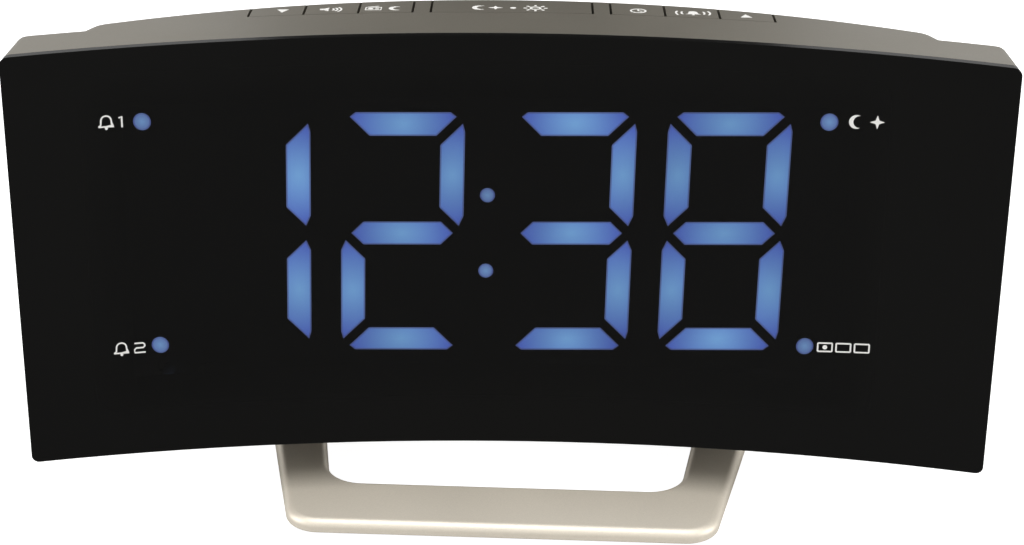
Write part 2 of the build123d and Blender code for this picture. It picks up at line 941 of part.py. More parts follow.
# Sockets
def dc_jack():
    """Power inlet: a moulded body with a round nose, a bore and a centre pin."""
    half = jack_size / 2
    body = block(
        socket_x - half, socket_x + half, bulge_inner_back - jack_length, bulge_inner_back,
        jack_z - half, jack_z + half,
    )
    body += along_y(jack_nose, bulge_inner_back - 1, bulge_depth, socket_x, jack_z)
    bore_end = bulge_depth - 9.5
    body -= along_y(jack_bore, bore_end, bulge_depth + 1, socket_x, jack_z)
    return body + along_y(jack_pin, bore_end - 1, bulge_depth - 1.0, socket_x, jack_z)


def antenna_gland():
    """Rubber bush for the aerial wire."""
    body = along_y(gland_radius, bulge_inner_back - 1.2, bulge_depth + 1.2, socket_x, gland_z)
    body += along_y(gland_radius + gland_flange, bulge_inner_back - 1.2, bulge_inner_back, socket_x, gland_z)
    body += along_y(gland_radius + gland_flange, bulge_depth, bulge_depth + 1.2, socket_x, gland_z)
    return body - along_y(gland_bore, bulge_inner_back - 3, bulge_depth + 3, socket_x, gland_z)


def beam_key():
    """Push button that lights the projector, with a long stem to its switch."""
    face = along_y(beam_key_radius, bulge_inner_back - 0.2, bulge_depth + beam_key_proud, socket_x, beam_key_z)
    face = fillet(face.edges().sort_by(Axis.Y)[-1], 0.5)
    flange = bulge_inner_back - 0.2
    body = face + along_y(beam_key_radius + beam_key_flange, flange - 1.2, flange, socket_x, beam_key_z)
    stem_end = beam_switch_back + beam_key_travel + 0.1
    return body + along_y(beam_key_stem, stem_end, flange - 1.0, socket_x, beam_key_z)


beam_switch_back = main_board_back + switch_height + switch_button


def beam_switch():
    half = switch_size / 2
    top = main_board_back + switch_height
    base = block(socket_x - half, socket_x + half, main_board_back, top, beam_key_z - half, beam_key_z + half)
    return base + along_y(switch_button_radius, top, beam_switch_back, socket_x, beam_key_z)


# Projector, with its beam along +Y at rest
def beam(radius, start, end):
    """Round bar along the beam, measured from the pivot."""
    return along_y(radius, pivot_depth + start, pivot_depth + end, 0, pivot_height)


ear_inner = drum_half + ear_gap
ear_outer = ear_inner + ear_wall


def cradle_screw_places():
    x = ear_inner + ear_wall / 2
    y = (cradle_foot_front + cradle_foot_back) / 2
    return [(-x, y), (x, y)]


def projector_cradle():
    """Bracket with two ears on the shelf of the back cover."""
    foot = block(-ear_outer, ear_outer, cradle_foot_front, cradle_foot_back, bulge_high, bulge_high + cradle_wall)
    cradle = foot
    for side in (-1, 1):
        x0 = min(side * ear_inner, side * ear_outer)
        profile = [
            (cradle_foot_front, bulge_high), (cradle_foot_back, bulge_high),
            (pivot_depth + ear_radius, pivot_height), (pivot_depth - ear_radius, pivot_height),
        ]
        face = Plane.YZ.offset(x0) * make_face(Polyline(*profile, close=True))
        cradle += extrude(face, amount=ear_wall, dir=(1, 0, 0))
        cradle += along_x(ear_radius, x0, x0 + ear_wall, pivot_depth, pivot_height)
    cradle -= along_x(pin_radius + running_clear, -ear_outer - 1, ear_outer + 1, pivot_depth, pivot_height)
    hole = small_screw + screw_clear
    top = bulge_high + cradle_screw_bite + 0.5
    cradle -= [upright(hole, bulge_high - 1, top, x, y) for x, y in cradle_screw_places()]
    return cradle


def cradle_screws():
    length = wall + cradle_screw_bite
    return [screw_up(small_screw, length, small_head, x, y, bulge_inner_top) for x, y in cradle_screw_places()]


def projector_shell(side):
    """Half of the drum, with its pivot pin."""
    inner_end = drum_half - drum_wall
    x0, x1 = sorted((0, side * drum_half))
    shell = along_x(drum_radius, x0, x1, pivot_depth, pivot_height)
    rim = shell.edges().filter_by(GeomType.CIRCLE).sort_by(Axis.X)[-1 if side > 0 else 0]
    shell = fillet(rim, 1.0)
    c0, c1 = sorted((-side, side * inner_end))
    shell -= along_x(drum_radius - drum_wall, c0, c1, pivot_depth, pivot_height)
    p0, p1 = sorted((side * (drum_half - 0.5), side * (ear_outer + 0.6)))
    shell += along_x(pin_radius, p0, p1, pivot_depth, pivot_height)
    return shell - beam(tube_radius + screw_clear, tube_start - 2, tube_end)


def lens_tube():
    body = beam(tube_radius, tube_start, tube_end)
    return body - beam(tube_radius - tube_wall, tube_start - 1, tube_end + 1)


tube_bore = tube_radius - tube_wall


def condenser_lens():
    """Plano-convex lens just in front of the lamp."""
    disc = beam(tube_bore - screw_clear, condenser_start, condenser_start + 1.0)
    dome = beam(tube_bore - 1.4, condenser_start + 1.0, condenser_start + 2.2)
    return disc + fillet(dome.edges().sort_by(Axis.Y)[-1], 1.0)


def image_slide():
    """Little display plate whose numbers are thrown on the wall."""
    plate = beam(tube_bore - screw_clear, slide_start, slide_start + slide_wall)
    window = block(-4, 4, pivot_depth, pivot_depth + reach, pivot_height - 2.5, pivot_height + 2.5)
    return plate - (window & beam(tube_bore, slide_start + slide_wall - 0.3, slide_start + slide_wall + 1))


def lens_holder():
    """Sleeve that slides in the tube to focus the beam."""
    start = holder_start
    end = holder_start + holder_length
    outer = tube_bore - running_clear
    body = beam(outer, start, end) - beam(outer - holder_wall, start + 1.0, end + 1)
    return body - beam(outer - 2 * holder_wall, start - 1, end)


def projection_lens():
    """Biconvex lens seated in the sleeve."""
    radius = tube_bore - running_clear - holder_wall - screw_clear
    start = holder_start + 1.0
    bulge_height = (lens_thickness - lens_rim) / 2
    dome = (radius**2 + bulge_height**2) / (2 * bulge_height)
    middle = pivot_depth + start + bulge_height + lens_rim / 2
    body = beam(radius, start, start + lens_thickness)
    back_ball = Pos(0, middle - lens_rim / 2 - bulge_height + dome, pivot_height) * Sphere(dome)
    front_ball = Pos(0, middle + lens_rim / 2 + bulge_height - dome, pivot_height) * Sphere(dome)
    return body & back_ball & front_ball


def focus_ring():
    """Fluted ring that turns on the end of the tube."""
    outer = tube_radius + running_clear + focus_wall
    end = tube_end + 0.2 + focus_lip
    ring = beam(outer, focus_start, end)
    ring -= beam(tube_radius + running_clear, focus_start - 1, tube_end + 0.2)
    ring -= beam(tube_bore - 1.0, focus_start, end + 1)
    flute_radius = math.pi * outer / focus_flutes / 2
    for step in range(focus_flutes):
        angle = 2 * math.pi * step / focus_flutes
        x = (outer + flute_radius * 0.55) * math.cos(angle)
        z = pivot_height + (outer + flute_radius * 0.55) * math.sin(angle)
        ring -= along_y(flute_radius, pivot_depth + focus_start + 0.8, pivot_depth + tube_end - 0.3, x, z)
    return ring


def beam_board():
    """Small board across the drum behind the lamp."""
    half_z = math.sqrt((drum_radius - drum_wall) ** 2 - beam_board_back**2) - 0.1
    half_x = drum_half - drum_wall - 0.1
    y = pivot_depth - beam_board_back
    return block(-half_x, half_x, y, y + beam_board_wall, pivot_height - half_z, pivot_height + half_z)


def beam_lamp():
    start = beam_board_wall - beam_board_back
    body = beam(beam_led_radius, start, start + beam_led_length)
    return fillet(body.edges().sort_by(Axis.Y)[-1], beam_led_radius * 0.6)


def friction_washers():
    solids = []
    for side in (-1, 1):
        x0, x1 = sorted((side * (drum_half + washer_slack), side * (ear_inner - washer_slack)))
        ring = along_x(ear_radius - 0.3, x0, x1, pivot_depth, pivot_height)
        ring -= along_x(pin_radius + running_clear, x0 - 1, x1 + 1, pivot_depth, pivot_height)
        solids.append(ring)
    return solids


# Stand, drawn on the table with Y from the panel's foot
ring_low = pad_proud
ring_top = ring_low + ring_wall


def on_ring(x, y):
    """A place on the ring, which sits a little turned under the clock."""
    turn = math.radians(ring_turn)
    middle = (ring_front + ring_back) / 2
    away = y - middle
    return x * math.cos(turn) + away * math.sin(turn), middle + away * math.cos(turn) - x * math.sin(turn)


def ring_plan():
    """Flat ring, narrow in front and wide at the back."""
    outer = [
        (-ring_half_front, ring_front), (ring_half_front, ring_front),
        (ring_half_back, ring_back), (-ring_half_back, ring_back),
    ]
    front = ring_front + ring_bar_front
    back = ring_back - ring_bar_back
    half_front = ring_half_front - ring_bar_side_front
    half_back = ring_half_back - ring_bar_side_back
    inner = [(-half_front, front), (half_front, front), (half_back, back), (-half_back, back)]
    outer_face = make_face(Polyline(*[on_ring(x, y) for x, y in outer], close=True))
    inner_face = make_face(Polyline(*[on_ring(x, y) for x, y in inner], close=True))
    outer_face = fillet(outer_face.vertices(), ring_corner)
    inner_face = fillet(inner_face.vertices(), ring_inner_corner)
    return outer_face - inner_face


def pad_places():
    front = ring_front + pad_inset
    back = ring_back - pad_inset + 1.4
    places = [
        (-ring_half_front + pad_inset + 1.2, front), (ring_half_front - pad_inset - 1.2, front),
        (ring_half_back - pad_inset - 3.4, back), (-ring_half_back + pad_inset + 3.4, back),
    ]
    return [on_ring(x, y) for x, y in places]


def stand_ring():
    body = extrude(Pos(0, 0, ring_low) * ring_plan(), amount=ring_wall)
    body = fillet(body.faces().sort_by(Axis.Z)[-1].edges(), ring_edge)
    body = fillet(body.faces().sort_by(Axis.Z)[0].edges(), ring_foot_edge)
    pocket = pad_wall - pad_proud
    for x, y in pad_places():
        body -= upright(pad_radius + screw_clear, ring_low - 1, ring_low + pocket, x, y)
    for side in (-1, 1):
        x = side * riser_x
        body -= upright(case_screw + screw_clear, ring_low - 1, ring_top + 1, x, stand_screw_y)
        body -= upright(case_screw + 1.4, ring_low - 1, ring_low + head_height, x, stand_screw_y)
    return body


def stand_pads():
    return [upright(pad_radius, 0, pad_wall, x, y) for x, y in pad_places()]


def stand_risers(body_solid):
    """Feet between the ring and the underside of the leaning clock."""
    solids = []
    half = riser_width / 2
    for side in (-1, 1):
        x = side * riser_x
        riser = block(x - half, x + half, riser_front, riser_back, ring_top, foot_height + 2.0)
        riser = fillet(riser.edges().filter_by(Axis.Z), riser_edge)
        riser -= body_solid
        riser -= upright(case_screw + screw_clear, 0, reach, x, stand_screw_y)
        solids.append(riser)
    return solids


def stand_screws():
    length = foot_height + stand_screw_grip - ring_low - head_height
    return [
        screw_up(case_screw, length, case_head, side * riser_x, stand_screw_y, ring_low + head_height)
        for side in (-1, 1)
    ]


# Assembly: the leaning clock's place over the table
tilt = Pos(0, 0, foot_height) * Rot(-lean, 0, 0)


def front_housing(outer, cavity, core):
    """Panel frame and hump in one moulding, with key openings, posts and the rear opening."""
    shell = outer - cavity
    window_x = reflector_half_width + fit_clear
    window_z = reflector_half_height + fit_clear
    shell -= block(
        display_x - window_x, display_x + window_x, -reach, display_back,
        display_z - window_z, display_z + window_z,
    )
    shell -= block(-cover_half, cover_half, front_y(cover_half, frame_depth), reach, cover_low, cover_high)
    snooze = keys["key_snooze"]
    shell -= key_opening(keys["key_down"][0], keys["key_radio"][1])
    shell -= key_opening(snooze[0], snooze[1])
    shell -= key_opening(keys["key_set"][0], keys["key_up"][1])
    shell += key_posts(core)
    screw_hole = small_screw + screw_clear
    for x, y in key_post_places():
        shell -= upright(screw_hole, key_board_top - 1, key_board_top + 5, x, y)
    for x, z in board_screw_places():
        start = front_y(x, lens_wall + ledge / 2)
        shell += post(x, z, small_screw + boss_wall, start, display_back) & core
        shell -= along_y(screw_hole, display_back - 5, display_back + 1, x, z)
    for x, z in cover_screw_places():
        start = front_y(x, lens_wall + ledge / 2)
        end = front_y(x, frame_depth)
        shell += post(x, z, case_screw + boss_wall, start, end) & core
        shell -= along_y(case_screw + screw_clear, end - 8, end + 1, x, z)
    return shell


def stand_posts(housing, core):
    """Posts inside the housing that the stand's screws bite in, and their holes."""
    top = foot_height + stand_screw_grip + 1.0
    for side in (-1, 1):
        x = side * riser_x
        housing += upright(case_screw + boss_wall, 0, top, x, stand_screw_y) & core
        housing -= upright(case_screw + screw_clear, 0, top - 0.6, x, stand_screw_y)
    return housing


full = hump(0)
cavity_hump = hump(wall)
outer = band() + full
cavity = cavity_hump + (slab(lens_wall + ledge, frame_depth - wall) & outline(wall))
shell = full - cavity_hump
core = hump(0.6) + (slab(lens_wall + glue_line, frame_depth - 0.6) & outline(0.6))
key_shell = full - hump(key_wall)

parts = {}
lens = slab(0, lens_wall) & outline(0)
parts["front_lens"] = lens
parts["front_housing"] = front_housing(outer, cavity, core)
for name, ends in keys.items():
    skin, bead, inside = key_cap(ends, key_shell, core)
    parts[name] = skin + bead + inside
parts["key_rail"] = key_rail(cavity_hump)
parts["key_board"] = key_board()
parts["key_switches"] = tact_switches()
parts["key_board_screws"] = [
    screw_up(small_screw, key_screw_length, small_head, x, y, key_board_top - board_wall)
    for x, y in key_post_places()
]
parts["display_reflector"] = display_reflector()
diffuser_back = display_depth + diffuser_depth
parts["segments_lit"] = segment_solids(True, display_depth, diffuser_back)
parts["segments_unlit"] = segment_solids(False, display_depth, diffuser_back)
parts["indicator_dots"] = dot_diffusers()
parts["display_board"] = display_board()
parts["display_lamps"] = display_lamps()
parts["display_screws"] = [
    screw_y(small_screw, board_wall + display_screw_bite, small_head, x, display_board_back, z)
    for x, z in board_screw_places()
]
parts["board_standoffs"] = board_standoffs()
parts["main_board"] = main_board()
parts["main_board_parts"] = main_board_parts()
parts["main_board_screws"] = standoff_screws()
parts["board_header"] = board_header()
parts["back_cover"] = back_cover(shell)
parts["cover_screws"] = [
    screw_y(
        case_screw, cover_seat(x) - front_y(x, frame_depth) + cover_screw_bite, case_head, x, cover_seat(x), z
    )
    for x, z in cover_screw_places()
]
parts["speaker_basket"] = speaker_basket()
parts["speaker_cone"] = speaker_cone()
parts["speaker_magnet"] = speaker_magnet()
parts["speaker_screws"] = speaker_screws()
parts["battery_tray"] = battery_tray()
parts["battery_cells"] = battery_cells()
parts["battery_contacts"] = battery_contacts()
parts["battery_door"] = battery_door()
parts["dc_jack"] = dc_jack()
parts["antenna_gland"] = antenna_gland()
parts["projector_key"] = beam_key()
parts["projector_switch"] = beam_switch()
parts["projector_cradle"] = projector_cradle()
parts["cradle_screws"] = cradle_screws()
parts["friction_washers"] = friction_washers()
parts["projector_shell_left"] = projector_shell(-1)
parts["projector_shell_right"] = projector_shell(1)
parts["lens_tube"] = lens_tube()
parts["condenser_lens"] = condenser_lens()
parts["image_slide"] = image_slide()
parts["lens_holder"] = lens_holder()
parts["projection_lens"] = projection_lens()
parts["focus_ring"] = focus_ring()
parts["projector_board"] = beam_board()
parts["projector_lamp"] = beam_lamp()


def placed(shape, place):
    """One shape or a list of shapes, each moved to its place."""
    solids = shape if isinstance(shape, list) else [shape]
    return [place * solid for solid in solids]


world = {name: placed(shape, tilt) for name, shape in parts.items()}
world["front_housing"] = [stand_posts(world["front_housing"][0], tilt * core)]
world["stand_ring"] = [stand_ring()]
world["stand_pads"] = stand_pads()
world["stand_risers"] = stand_risers(tilt * outer)
world["stand_screws"] = stand_screws()

# The finished clock's origin is the middle of its box, on the table
boxes = [solid.bounding_box() for solids in world.values() for solid in solids]
middle_x = (min(box.min.X for box in boxes) + max(box.max.X for box in boxes)) / 2
middle_y = (min(box.min.Y for box in boxes) + max(box.max.Y for box in boxes)) / 2
home = Pos(-middle_x, -middle_y, 0)

os.makedirs("parts", exist_ok=True)
for name, solids in world.items():
    moved = placed(solids, home)
    export_step(moved[0] if len(moved) == 1 else Compound(moved), f"parts/{name}.step")
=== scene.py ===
import math

import bmesh
import bpy
from mathutils import Matrix, Vector


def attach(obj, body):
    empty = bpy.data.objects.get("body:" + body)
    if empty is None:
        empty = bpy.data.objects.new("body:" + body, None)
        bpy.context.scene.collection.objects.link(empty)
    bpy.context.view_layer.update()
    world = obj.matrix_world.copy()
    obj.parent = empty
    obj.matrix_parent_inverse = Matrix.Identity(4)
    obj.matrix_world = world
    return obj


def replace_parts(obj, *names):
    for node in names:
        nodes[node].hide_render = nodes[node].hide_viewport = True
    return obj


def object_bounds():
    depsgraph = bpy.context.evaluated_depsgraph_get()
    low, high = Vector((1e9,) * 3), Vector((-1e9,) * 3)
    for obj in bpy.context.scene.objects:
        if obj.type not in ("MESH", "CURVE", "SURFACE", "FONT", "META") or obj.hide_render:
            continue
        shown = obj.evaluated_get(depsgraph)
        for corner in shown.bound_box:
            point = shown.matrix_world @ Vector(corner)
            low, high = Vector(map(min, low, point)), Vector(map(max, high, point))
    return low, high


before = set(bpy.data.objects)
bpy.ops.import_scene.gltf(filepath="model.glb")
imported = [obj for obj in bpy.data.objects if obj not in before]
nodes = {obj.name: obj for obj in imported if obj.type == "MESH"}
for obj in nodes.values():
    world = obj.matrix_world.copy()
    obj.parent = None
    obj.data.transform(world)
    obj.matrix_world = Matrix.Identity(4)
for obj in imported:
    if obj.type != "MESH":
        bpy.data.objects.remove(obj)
cad_low, cad_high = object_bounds()
scene = bpy.context.scene

# The photograph's view: a camera 400 mm from the middle of the panel, 20 degrees above the
# clock's own level and half a degree to the reader's right. The clock leans back 6 degrees. Its own
# sizes are in millimetres, and FOOT is the middle of the panel's lower front edge in the frame.
MM = 0.001
LEAN = math.radians(6)
FOOT = Vector((0, -26.2818, 12)) * MM
AIM_HEIGHT = 39
CAMERA_AWAY = 400
leaning = Matrix.Rotation(-LEAN, 3, "X")


def leant(x, y, z):
    """A place given upright, in the clock's own millimetres from the panel's foot, on the leaning clock."""
    return leaning @ Vector((x, y, z)) * MM + FOOT


yaw = math.radians(0.55)
pitch = math.radians(20)
roll = math.radians(0.46)
back = Vector((math.sin(yaw) * math.cos(pitch), -math.cos(yaw) * math.cos(pitch), math.sin(pitch)))
right = Vector((math.cos(yaw), math.sin(yaw), 0))
up = back.cross(right)
right, up = (math.cos(roll) * right + math.sin(roll) * up, math.cos(roll) * up - math.sin(roll) * right)
camera = bpy.data.objects.new("camera", bpy.data.cameras.new("camera"))
scene.collection.objects.link(camera)
camera.data.lens = 78.12
camera.data.shift_x = 0.0029
camera.data.shift_y = -0.0278
camera.data.clip_start = 0.01
pose = Matrix([leaning @ right, leaning @ up, leaning @ back]).transposed().to_4x4()
pose.translation = leant(*(Vector((0, 0, AIM_HEIGHT)) + CAMERA_AWAY * back))
camera.matrix_world = pose
scene.camera = camera
scene.view_settings.view_transform = "Standard"

# The studio: a pale paper floor that shows white to the camera, one wide soft lamp overhead, a soft
# lamp at either side, and a black flag behind the clock that darkens the middle of its ridge. The
# sizes of the studio are in metres.
FLAG_SIZE = (0.3, 0.56)
FLAG_PLACE = (0, 0.8, 0.3)


def made(name, shape, *materials):
    """Object that holds a finished bmesh, with its materials."""
    mesh = bpy.data.meshes.new(name)
    shape.to_mesh(mesh)
    shape.free()
    for material in materials:
        mesh.materials.append(material)
    piece = bpy.data.objects.new(name, mesh)
    scene.collection.objects.link(piece)
    return piece


def matt(name, rough, sheen, scale, dark, pale):
    """Matt grey stuff for the studio, between two greys."""
    material = bpy.data.materials.new(name)
    material.use_nodes = True
    tree = material.node_tree
    skin = tree.nodes["Principled BSDF"]
    skin.inputs["Roughness"].default_value = rough
    skin.inputs["Specular IOR Level"].default_value = sheen
    where = tree.nodes.new("ShaderNodeTexCoord")
    fibre = tree.nodes.new("ShaderNodeTexNoise")
    fibre.inputs["Scale"].default_value = scale
    tone = tree.nodes.new("ShaderNodeMix")
    tone.data_type = "RGBA"
    tone.inputs["A"].default_value = (dark, dark, dark, 1)
    tone.inputs["B"].default_value = (pale, pale, pale, 1)
    tree.links.new(where.outputs["Object"], fibre.inputs["Vector"])
    tree.links.new(fibre.outputs["Fac"], tone.inputs["Factor"])
    tree.links.new(tone.outputs["Result"], skin.inputs["Base Color"])
    return material


paper = matt("studio_paper", rough=0.9, sheen=0.1, scale=60, dark=0.5, pale=0.54)
tree = paper.node_tree
skin = tree.nodes["Principled BSDF"]
seen = tree.nodes.new("ShaderNodeLightPath")
lift = tree.nodes.new("ShaderNodeMath")
lift.operation = "MULTIPLY"
lift.inputs[1].default_value = 0.95
tree.links.new(seen.outputs["Is Camera Ray"], lift.inputs[0])
skin.inputs["Emission Color"].default_value = (1, 1, 1, 1)
tree.links.new(lift.outputs[0], skin.inputs["Emission Strength"])
sweep = bmesh.new()
bmesh.ops.create_grid(sweep, x_segments=1, y_segments=1, size=3.0)
floor = made("paper_floor", sweep, paper)

world = bpy.data.worlds.new("studio")
world.use_nodes = True
scene.world = world
tree = world.node_tree
dome = tree.nodes["Background"]
dome.inputs["Color"].default_value = (1, 1, 1, 1)
seen = tree.nodes.new("ShaderNodeLightPath")
direct = tree.nodes.new("ShaderNodeMath")
direct.operation = "MAXIMUM"
tree.links.new(seen.outputs["Is Camera Ray"], direct.inputs[0])
tree.links.new(seen.outputs["Is Transmission Ray"], direct.inputs[1])
bright = tree.nodes.new("ShaderNodeMath")
bright.operation = "MAXIMUM"
tree.links.new(direct.outputs[0], bright.inputs[0])
tree.links.new(seen.outputs["Is Glossy Ray"], bright.inputs[1])
level = tree.nodes.new("ShaderNodeMapRange")
level.inputs["To Min"].default_value = 0.42
level.inputs["To Max"].default_value = 1.0
tree.links.new(bright.outputs[0], level.inputs["Value"])
tree.links.new(level.outputs["Result"], dome.inputs["Strength"])


def softbox(name, place, size, watts):
    """A square soft lamp aimed at the clock."""
    lamp = bpy.data.lights.new(name, "AREA")
    lamp.shape = "SQUARE"
    lamp.size = size
    lamp.energy = watts
    holder = bpy.data.objects.new(name, lamp)
    holder.location = place
    holder.rotation_euler = (Vector((0, 0, 0.05)) - Vector(place)).to_track_quat("-Z", "Y").to_euler()
    scene.collection.objects.link(holder)


softbox("overhead", (0, -0.3, 1.3), size=1.2, watts=14)
softbox("left_side", (-1.2, -0.3, 0.4), size=0.8, watts=9)
softbox("right_side", (1.2, -0.2, 0.4), size=0.8, watts=10)

card = bmesh.new()
bmesh.ops.create_grid(card, x_segments=1, y_segments=1, size=0.5)
bmesh.ops.scale(card, verts=card.verts, vec=(*FLAG_SIZE, 1))
bmesh.ops.rotate(card, verts=card.verts, cent=(0, 0, 0), matrix=Matrix.Rotation(math.radians(90), 3, "X"))
bmesh.ops.translate(card, verts=card.verts, vec=FLAG_PLACE)
felt = matt("flag_felt", rough=1.0, sheen=0.0, scale=400, dark=0.01, pale=0.03)
flag = made("black_flag", card, felt)

# Housing and keys: ABS mouldings sprayed with a fine satin metallic taupe. The seven keys are cut
# from the same skin and sprayed with it, so they show only as slits across the ridge.


def grain_group():
    """Noise for a surface: a fine height for its bump, a slow mottle for its tone, and specks."""
    group = bpy.data.node_groups.new("grain", "ShaderNodeTree")
    for name, value in (("Grain", 1500.0), ("Mottle", 40.0), ("Flake", 6000.0)):
        socket = group.interface.new_socket(name, in_out="INPUT", socket_type="NodeSocketFloat")
        socket.default_value = value
    for name in ("Height", "Mottle", "Specks"):
        group.interface.new_socket(name, in_out="OUTPUT", socket_type="NodeSocketFloat")
    entry = group.nodes.new("NodeGroupInput")
    leave = group.nodes.new("NodeGroupOutput")
    place = group.nodes.new("ShaderNodeTexCoord")
    for scale, result in (("Grain", "Height"), ("Mottle", "Mottle")):
        noise = group.nodes.new("ShaderNodeTexNoise")
        noise.inputs["Detail"].default_value = 4
        group.links.new(place.outputs["Object"], noise.inputs["Vector"])
        group.links.new(entry.outputs[scale], noise.inputs["Scale"])
        group.links.new(noise.outputs["Fac"], leave.inputs[result])
    flakes = group.nodes.new("ShaderNodeTexVoronoi")
    group.links.new(place.outputs["Object"], flakes.inputs["Vector"])
    group.links.new(entry.outputs["Flake"], flakes.inputs["Scale"])
    pick = group.nodes.new("ShaderNodeSeparateColor")
    group.links.new(flakes.outputs["Color"], pick.inputs["Color"])
    group.links.new(pick.outputs["Red"], leave.inputs["Specks"])
    return group


grains = grain_group()


def finish(name, colour, rough, metal=0, *, grain, bump, mottle, patches, flake=0):
    """A finish: grain with a bump in microns, patches of another tone and gloss, flakes for paint."""
    material = bpy.data.materials.new(name)
    material.use_nodes = True
    tree = material.node_tree
    skin = tree.nodes["Principled BSDF"]
    skin.inputs["Metallic"].default_value = metal
    noise = tree.nodes.new("ShaderNodeGroup")
    noise.node_tree = grains
    noise.inputs["Grain"].default_value = grain
    noise.inputs["Mottle"].default_value = patches
    tone = tree.nodes.new("ShaderNodeMix")
    tone.data_type = "RGBA"
    tone.inputs["A"].default_value = [c * (1 - mottle) for c in colour] + [1]
    tone.inputs["B"].default_value = [min(c * (1 + mottle), 1) for c in colour] + [1]
    tree.links.new(noise.outputs["Mottle"], tone.inputs["Factor"])
    shade = tree.nodes.new("ShaderNodeMapRange")
    shade.inputs["To Min"].default_value = 1 - flake
    shade.inputs["To Max"].default_value = 1 + flake
    tree.links.new(noise.outputs["Specks"], shade.inputs["Value"])
    flecked = tree.nodes.new("ShaderNodeVectorMath")
    flecked.operation = "SCALE"
    tree.links.new(tone.outputs["Result"], flecked.inputs[0])
    tree.links.new(shade.outputs["Result"], flecked.inputs["Scale"])
    tree.links.new(flecked.outputs["Vector"], skin.inputs["Base Color"])
    gloss = tree.nodes.new("ShaderNodeMapRange")
    gloss.inputs["From Min"].default_value = 0.3
    gloss.inputs["From Max"].default_value = 0.7
    gloss.inputs["To Min"].default_value = rough * 0.92
    gloss.inputs["To Max"].default_value = min(rough * 1.08, 1)
    tree.links.new(noise.outputs["Mottle"], gloss.inputs["Value"])
    tree.links.new(gloss.outputs["Result"], skin.inputs["Roughness"])
    relief = tree.nodes.new("ShaderNodeBump")
    relief.inputs["Strength"].default_value = 1.0
    relief.inputs["Distance"].default_value = bump * 1e-6
    tree.links.new(noise.outputs["Height"], relief.inputs["Height"])
    tree.links.new(relief.outputs["Normal"], skin.inputs["Normal"])
    return material


def dress(material, *names):
    """Gives CAD nodes a finish."""
    for name in names:
        for slot in nodes[name].material_slots:
            slot.material = material


keys = ["key_down", "key_volume", "key_radio", "key_snooze", "key_set", "key_alarm", "key_up"]
paint = finish(
    "taupe_paint", (0.195, 0.179, 0.147), 0.42, metal=0.75,
    grain=2600, bump=4, mottle=0.03, patches=25, flake=0.05,
)
dress(paint, "front_housing", *keys)

# Marks on the keys: white pad printing, 0.04 mm thick. Each key has a plain sign of what it does:
# triangles, a loudspeaker, a set with a moon, a moon, a star and a lamp, a clock face, a ringing bell.
PANEL_CURVE = 273.0
PANEL_WIDTH = 172.6
PANEL_HEIGHT = 77.6
PANEL_BOW = 1.2
TOP_CURVE = (PANEL_WIDTH**2 / 4 + PANEL_BOW**2) / (2 * PANEL_BOW)
MARK_DEPTH = 19.9
INK = 0.04


def front_y(x, depth):
    """Y of the arc a depth behind the hollow front."""
    return math.sqrt((PANEL_CURVE + depth) ** 2 - x**2) - PANEL_CURVE


def arc(x, z, radius, start, end, steps=14):
    """Points on an arc between two angles in degrees."""
    angles = [math.radians(start + (end - start) * step / steps) for step in range(steps + 1)]
    return [(x + radius * math.cos(a), z + radius * math.sin(a)) for a in angles]


def disc(x, z, radius):
    """Filled circle."""
    return arc(x, z, radius, 0, 360, 20)[:-1]


def stroke(points, width):
    """Outline of a line of even width along some points."""
    sides = []
    for index, point in enumerate(points):
        before = Vector(points[max(index - 1, 0)])
        after = Vector(points[min(index + 1, len(points) - 1)])
        way = (after - before).normalized()
        out = Vector((-way.y, way.x)) * width / 2
        sides.append((Vector(point) + out, Vector(point) - out))
    return [tuple(a) for a, b in sides] + [tuple(b) for a, b in reversed(sides)]


def triangle(x, z, half, height, way):
    """Triangle that points up or down."""
    return [(x - half, z - way * height / 2), (x + half, z - way * height / 2), (x, z + way * height / 2)]


def moon(x, z, radius):
    """Crescent, open to the right."""
    return arc(x, z, radius, 60, 300) + arc(x + radius * 0.45, z, radius * 0.8675, 273, 87)


def bell(x, z, size):
    """Bell with its clapper."""
    side = [(-0.5, -0.32), (-0.34, -0.18), (-0.3, 0.16)]
    outline = side + arc(0, 0.16, 0.3, 180, 0) + [(-a, b) for a, b in reversed(side)]
    return [[(x + a * size, z + b * size) for a, b in outline], disc(x, z - 0.46 * size, 0.1 * size)]


def waves(x, z, radii, ways, width, spread=42):
    """Arcs that spread from a point to one or both sides."""
    return [stroke(arc(x, z, radius, way - spread, way + spread), width) for radius in radii for way in ways]


def star(x, z, radius):
    """Star with four points."""
    points = []
    for step in range(8):
        turn = math.radians(45 * step)
        reach = radius if step % 2 == 0 else radius * 0.36
        points.append((x + reach * math.sin(turn), z + reach * math.cos(turn)))
    return points


def ring(x, z, radius, width):
    """Circle in a line."""
    return [stroke(arc(x, z, radius, start, start + 180, 18), width) for start in (0, 180)]


def sun(x, z, radius, width):
    """Ring with eight rays."""
    middle = Vector((x, z))
    shapes = ring(x, z, radius * 0.4, width)
    for step in range(8):
        turn = math.radians(45 * step)
        ray = Vector((math.cos(turn), math.sin(turn))) * radius
        shapes.append(stroke([middle + ray * 0.68, middle + ray], width))
    return shapes


